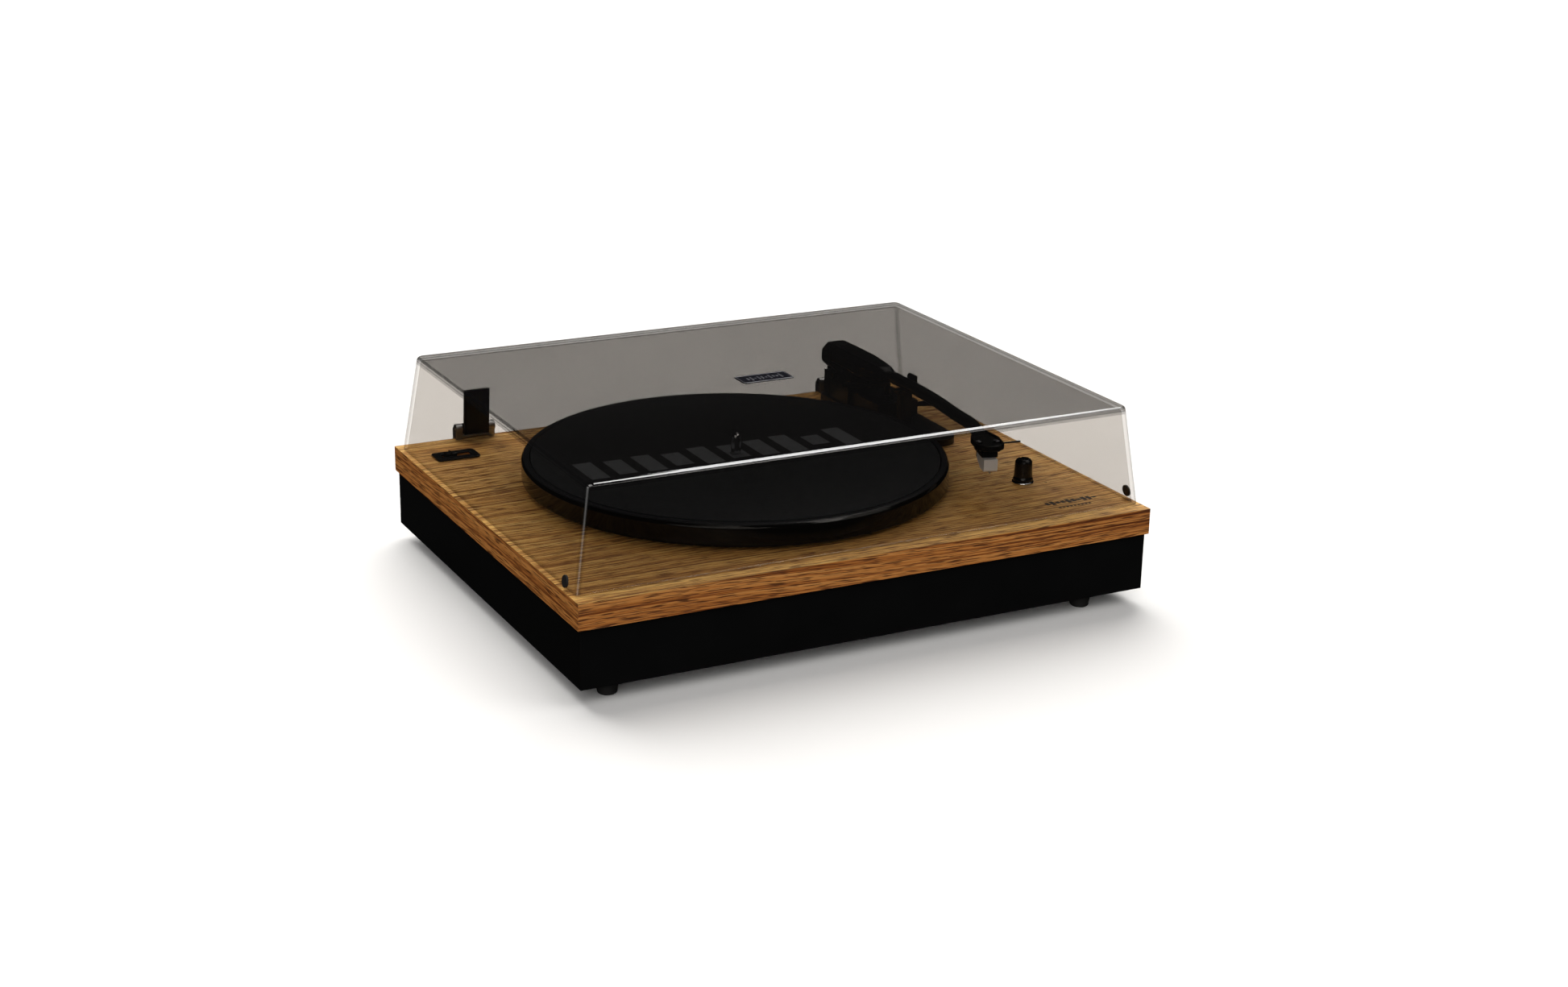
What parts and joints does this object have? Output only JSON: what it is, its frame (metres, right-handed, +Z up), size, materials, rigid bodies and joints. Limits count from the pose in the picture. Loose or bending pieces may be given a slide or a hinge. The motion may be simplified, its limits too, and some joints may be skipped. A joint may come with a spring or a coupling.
{
  "type": "turntable record player",
  "caption": "Low wood-topped record player with a felt-covered platter, pivoted tonearm, volume knob and hinged smoked dust cover.",
  "frame": {"origin": "centre of the bounding box at the bottom of the feet", "axes": "+X to the tonearm side, +Y to the hinges and sockets at the back, +Z up"},
  "size_m": [0.42, 0.348, 0.14],
  "materials": {
    "wood_slab": "oak-grain vinyl over board, satin",
    "black_tray": "satin black",
    "black_rubber": "dull",
    "black_platter": "gloss black paint on cast aluminium",
    "black_felt": "felt with a printed grey pattern",
    "brass": "turned",
    "zinc_steel": "zinc plated",
    "chrome": "polished",
    "satin_black_plastic": "satin moulded",
    "gloss_black_plastic": "gloss",
    "black_tube": "satin black",
    "black_weight": "satin black",
    "black_sleeve": "shrink sleeve",
    "off_white_plastic": "satin moulded",
    "bare_aluminium": "bare",
    "socket_block": "moulded block with plated sockets",
    "circuit_board": "solder mask",
    "smoked_acrylic": "clear smoked acrylic, polished"
  },
  "bodies": {
    "deck": {"base_tray": "black_tray", "top_slab": "wood_slab", "foot_front_left": "black_rubber", "foot_front_right": "black_rubber", "foot_rear_left": "black_rubber", "foot_rear_right": "black_rubber", "bearing_housing": "brass", "motor_can": "zinc_steel", "motor_bracket": "zinc_steel", "drive_belt": "black_rubber", "arm_base": "satin_black_plastic", "arm_nut": "zinc_steel", "arm_rest": "satin_black_plastic", "potentiometer": "zinc_steel", "knob_ring": "chrome", "speed_frame": "satin_black_plastic", "rear_panel": "satin_black_plastic", "dc_inlet": "satin_black_plastic", "aux_socket": "satin_black_plastic", "line_out_sockets": "socket_block", "speaker_sockets": "socket_block", "rocker_frame": "satin_black_plastic", "amplifier_board": "circuit_board", "board_heatsink": "bare_aluminium", "filter_capacitor": "black_sleeve", "hinge_bracket_left": "zinc_steel", "hinge_bracket_right": "zinc_steel", "hinge_pin_left": "zinc_steel", "hinge_pin_right": "zinc_steel"},
    "motor_rotor": {"motor_pulley": "brass", "motor_shaft": "zinc_steel"},
    "platter": {"platter": "black_platter", "slip_mat": "black_felt", "spindle": "chrome"},
    "arm_swivel": {"arm_yoke": "satin_black_plastic", "arm_shaft": "zinc_steel"},
    "tonearm": {"arm_housing": "satin_black_plastic", "counterweight": "black_weight", "arm_tube": "black_tube", "headshell": "satin_black_plastic", "cartridge_body": "satin_black_plastic", "stylus_holder": "off_white_plastic", "stylus": "bare_aluminium", "finger_lift": "satin_black_plastic", "headshell_screw_left": "chrome", "headshell_screw_right": "chrome", "gimbal_pin": "zinc_steel"},
    "cue_lever": {"cue_lever": "satin_black_plastic"},
    "lift_bar": {"lift_bar": "satin_black_plastic"},
    "volume": {"volume_knob": "gloss_black_plastic", "knob_shaft": "zinc_steel"},
    "speed_slider": {"speed_slider": "satin_black_plastic"},
    "power_rocker": {"power_rocker": "gloss_black_plastic"},
    "cover": {"dust_cover": "smoked_acrylic", "cover_badge": "gloss_black_plastic", "cover_bumper_left": "black_rubber", "cover_bumper_right": "black_rubber", "hinge_leaf_left": "satin_black_plastic", "hinge_leaf_right": "satin_black_plastic"}
  },
  "joints": [
    {"name": "platter_spin", "type": "hinge", "parent": "deck", "child": "platter", "pos_m": [-0.018, 0.0005, 0.08], "axis": [0, 0, 1], "continuous": true},
    {"name": "motor_spin", "type": "hinge", "parent": "deck", "child": "motor_rotor", "pos_m": [-0.09083, 0.07333, 0.077], "axis": [0, 0, 1], "continuous": true},
    {"name": "tonearm_swing", "type": "hinge", "parent": "deck", "child": "arm_swivel", "pos_m": [0.141, 0.116, 0.09], "axis": [0, 0, -1], "range_deg": [0, 38]},
    {"name": "tonearm_lift", "type": "hinge", "parent": "arm_swivel", "child": "tonearm", "pos_m": [0.141, 0.116, 0.0993], "axis": [-1, 0, 0], "range_deg": [0, 3.5]},
    {"name": "cue_lever_turn", "type": "hinge", "parent": "deck", "child": "cue_lever", "pos_m": [0.16, 0.07, 0.081], "axis": [-1, 0, 0], "range_deg": [0, 50]},
    {"name": "lift_bar_slide", "type": "slide", "parent": "deck", "child": "lift_bar", "axis": [0, 0, 1], "range_m": [0, 0.0024]},
    {"name": "volume_turn", "type": "hinge", "parent": "deck", "child": "volume", "pos_m": [0.162, -0.089, 0.08], "axis": [0, 0, -1], "range_deg": [0, 300]},
    {"name": "speed_slide", "type": "slide", "parent": "deck", "child": "speed_slider", "axis": [1, 0, 0], "range_m": [0, 0.008]},
    {"name": "power_rocker_tip", "type": "hinge", "parent": "deck", "child": "power_rocker", "pos_m": [0.076, 0.1626, 0.0315], "axis": [-1, 0, 0], "range_deg": [0, 20]},
    {"name": "cover_hinge", "type": "hinge", "parent": "deck", "child": "cover", "pos_m": [0, 0.163, 0.077], "axis": [-1, 0, 0], "range_deg": [0, 60]}
  ],
  "couplings": [
    {"joint": "motor_spin", "follows": "platter_spin", "ratio": 12.12},
    {"joint": "cue_lever_turn", "follows": "tonearm_lift", "ratio": 14.2},
    {"joint": "lift_bar_slide", "follows": "tonearm_lift", "m_per_rad": 0.039}
  ]
}
